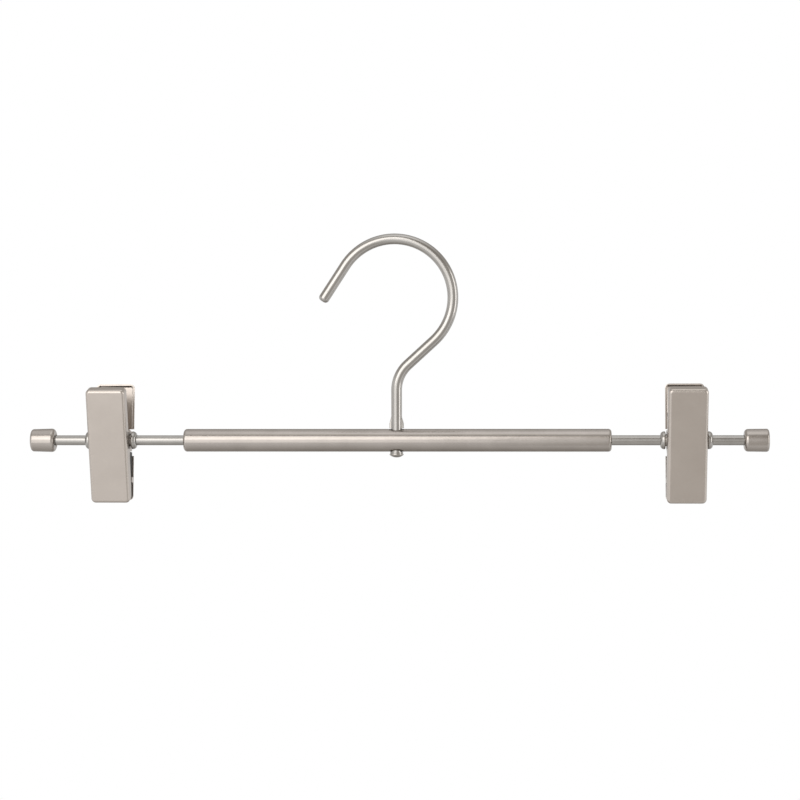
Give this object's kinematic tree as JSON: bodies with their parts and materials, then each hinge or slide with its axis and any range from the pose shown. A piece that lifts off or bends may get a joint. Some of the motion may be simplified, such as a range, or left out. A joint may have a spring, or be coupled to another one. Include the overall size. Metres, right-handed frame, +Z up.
{
  "type": "skirt hanger",
  "caption": "Skirt hanger: wire hook swivelling on a straight metal bar whose thin rods carry sprung sheet metal clips that slide, swing and open, with stop caps at the ends.",
  "frame": {"origin": "where the inside top of the hook rests on a rail, on the hook's swivel axis", "axes": "+X along the bar, to the right seen from the front jaws; +Y from the front jaws to the rear jaws; +Z up"},
  "size_m": [0.3688, 0.0311, 0.1345],
  "materials": {
    "satin_nickel": "satin nickel plate over steel",
    "jaw_nickel": "matt satin nickel plate over sheet steel",
    "sleeve_steel": "plain drawn steel",
    "spring_steel": "bright spring wire",
    "plug_nylon": "dark nylon",
    "pad_rubber": "black moulded rubber"
  },
  "bodies": {
    "hook_set": {"hook": "satin_nickel", "hook_washer": "satin_nickel"},
    "crossbar": {"centre_tube": "satin_nickel", "left_tube_plug": "plug_nylon", "right_tube_plug": "plug_nylon", "left_rod": "satin_nickel", "right_rod": "satin_nickel", "left_end_cap": "satin_nickel", "right_end_cap": "satin_nickel"},
    "left_clip_slider": {"left_clip_sleeve": "sleeve_steel", "left_outer_collar": "satin_nickel", "left_inner_collar": "satin_nickel"},
    "left_clip_back": {"left_rear_jaw": "jaw_nickel", "left_rear_pad": "pad_rubber", "left_clip_spring": "spring_steel"},
    "left_clip_front": {"left_front_jaw": "jaw_nickel", "left_front_pad": "pad_rubber"},
    "right_clip_slider": {"right_clip_sleeve": "sleeve_steel", "right_outer_collar": "satin_nickel", "right_inner_collar": "satin_nickel"},
    "right_clip_back": {"right_rear_jaw": "jaw_nickel", "right_rear_pad": "pad_rubber", "right_clip_spring": "spring_steel"},
    "right_clip_front": {"right_front_jaw": "jaw_nickel", "right_front_pad": "pad_rubber"}
  },
  "joints": [
    {"name": "hook_swivel", "type": "hinge", "parent": "hook_set", "child": "crossbar", "pos_m": [0, 0, -0.09778], "axis": [0, 0, 1], "continuous": true},
    {"name": "left_clip_slide", "type": "slide", "parent": "crossbar", "child": "left_clip_slider", "axis": [1, 0, 0], "range_m": [-0.0151, 0.0237]},
    {"name": "left_clip_swing", "type": "hinge", "parent": "left_clip_slider", "child": "left_clip_back", "pos_m": [-0.1437, 0, -0.09778], "axis": [1, 0, 0], "continuous": true},
    {"name": "left_clip_open", "type": "hinge", "parent": "left_clip_back", "child": "left_clip_front", "pos_m": [-0.1437, 0, -0.09778], "axis": [-1, 0, 0], "range_deg": [0, 24], "stiffness_Nm_per_rad": 0.15, "springref_deg": -68.75, "deforming": ["left_clip_spring"]},
    {"name": "right_clip_slide", "type": "slide", "parent": "crossbar", "child": "right_clip_slider", "axis": [1, 0, 0], "range_m": [-0.0237, 0.0151]},
    {"name": "right_clip_swing", "type": "hinge", "parent": "right_clip_slider", "child": "right_clip_back", "pos_m": [0.1437, 0, -0.09778], "axis": [1, 0, 0], "continuous": true},
    {"name": "right_clip_open", "type": "hinge", "parent": "right_clip_back", "child": "right_clip_front", "pos_m": [0.1437, 0, -0.09778], "axis": [-1, 0, 0], "range_deg": [0, 24], "stiffness_Nm_per_rad": 0.15, "springref_deg": -68.75, "deforming": ["right_clip_spring"]}
  ]
}
